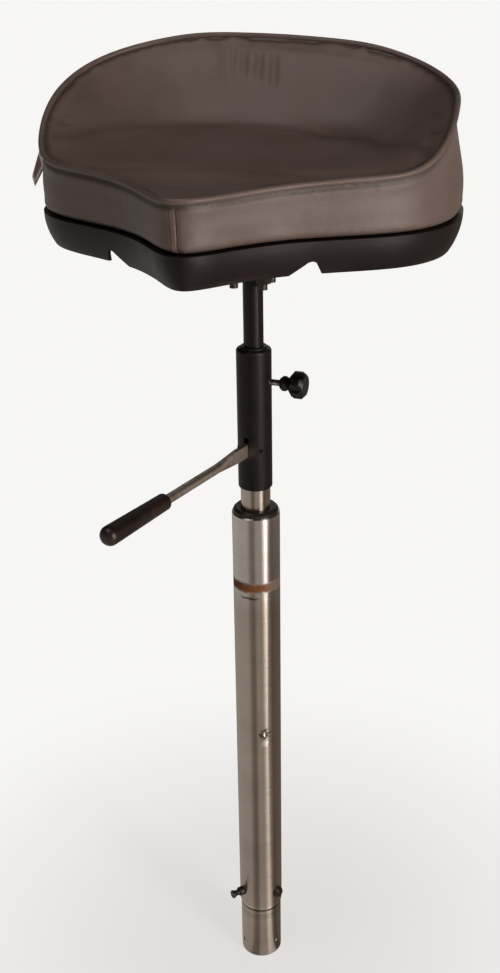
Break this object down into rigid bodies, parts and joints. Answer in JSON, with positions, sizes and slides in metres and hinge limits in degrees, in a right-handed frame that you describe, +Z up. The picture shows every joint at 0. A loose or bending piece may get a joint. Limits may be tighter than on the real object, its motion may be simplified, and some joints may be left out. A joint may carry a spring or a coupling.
{
  "type": "boat seat pedestal",
  "caption": "Padded casting seat on a swivelling post, carried by a lever-released gas lift in a tube whose turned-down end plugs into a deck socket.",
  "frame": {"origin": "middle of the spigot's shoulder, where the tube stands on the rim of the deck socket", "axes": "+Z up along the pole, the seat's nose towards -Y, +X to the sitter's left"},
  "size_m": [0.3915, 0.3613, 1.0113],
  "materials": {
    "tube_steel": "satin steel, drawn marks along it",
    "lift_steel": "bright drawn steel",
    "rod_chrome": "hard chrome",
    "lever_steel": "bright zinc-plated steel",
    "zinc_steel": "zinc plate",
    "spring_steel": "bright",
    "bearing_steel": "ground",
    "plug_aluminium": "turned",
    "black_fitting": "black oxide",
    "sleeve_black": "satin black powder coat",
    "post_black": "satin black powder coat",
    "black_acetal": "turned",
    "natural_acetal": "turned",
    "black_rubber": "moulded",
    "grip_vinyl": "dipped vinyl",
    "knob_plastic": "moulded",
    "pan_plastic": "moulded, fine grain",
    "seat_vinyl": "embossed upholstery vinyl",
    "tag_cloth": "woven tape"
  },
  "bodies": {
    "root": {"lower_tube": "tube_steel", "top_bushing": "black_acetal", "lower_guide": "natural_acetal", "base_plug": "plug_aluminium", "lower_race": "bearing_steel", "thrust_balls": "bearing_steel", "lock_housing": "black_fitting", "side_screw": "black_fitting", "plunger_spring": "spring_steel"},
    "rod": {"upper_race": "bearing_steel", "piston_rod": "rod_chrome", "bump_ring": "black_rubber", "rod_clip": "spring_steel"},
    "lift": {"pressure_tube": "lift_steel", "rod_guide": "plug_aluminium", "valve_body": "plug_aluminium", "lever_sleeve": "sleeve_black", "lever_pin": "lever_steel", "upper_bush": "black_acetal", "lower_bush": "natural_acetal", "post_washer": "natural_acetal"},
    "lever": {"lever_rod": "lever_steel", "lever_grip": "grip_vinyl"},
    "valve": {"valve_pin": "bearing_steel"},
    "clamp_tip": {"clamp_pad": "natural_acetal"},
    "clamp": {"clamp_stud": "lever_steel", "clamp_knob": "knob_plastic"},
    "seat": {"seat_post": "post_black", "flange_bolts": "zinc_steel", "flange_washers": "zinc_steel", "flange_nuts": "zinc_steel", "seat_mount": "post_black", "pan_bolts": "zinc_steel", "pan_washers": "zinc_steel", "tee_nuts": "zinc_steel", "seat_pan": "pan_plastic", "cushion_screws": "zinc_steel", "cushion": "seat_vinyl", "seam_tag": "tag_cloth"},
    "plunger": {"plunger_pin": "spring_steel", "plunger_knob": "black_fitting"}
  },
  "joints": [
    {"name": "lift_turn", "type": "hinge", "parent": "root", "child": "rod", "pos_m": [0, 0, 0.0316], "axis": [0, 0, 1], "continuous": true},
    {"name": "seat_lift", "type": "slide", "parent": "rod", "child": "lift", "axis": [0, 0, 1], "range_m": [0, 0.165]},
    {"name": "lever_lift", "type": "hinge", "parent": "lift", "child": "lever", "pos_m": [-0.00294, -0.0106, 0.571], "axis": [-0.9636, 0.2672, 0], "range_deg": [0, 12], "stiffness_Nm_per_rad": 0.5, "springref_deg": -5.73},
    {"name": "valve_press", "type": "slide", "parent": "lift", "child": "valve", "axis": [0, 0, -1], "range_m": [0, 0.0026]},
    {"name": "clamp_advance", "type": "slide", "parent": "lift", "child": "clamp_tip", "axis": [0.9976, -0.0698, 0], "range_m": [0, 0.0021]},
    {"name": "clamp_turn", "type": "hinge", "parent": "clamp_tip", "child": "clamp", "pos_m": [0, 0, 0.638], "axis": [0.9976, -0.0698, 0], "range_deg": [0, 720]},
    {"name": "seat_swivel", "type": "hinge", "parent": "lift", "child": "seat", "pos_m": [0, 0, 0.62], "axis": [0, 0, 1], "continuous": true},
    {"name": "plunger_pull", "type": "slide", "parent": "root", "child": "plunger", "axis": [-0.682, -0.7314, 0], "range_m": [0, 0.003], "stiffness_N_per_m": 900, "springref_m": -0.003, "deforming": ["plunger_spring"]}
  ],
  "couplings": [
    {"joint": "valve_press", "follows": "lever_lift", "m_per_rad": 0.0117},
    {"joint": "clamp_advance", "follows": "clamp_turn", "m_per_rad": 0.00015915}
  ]
}
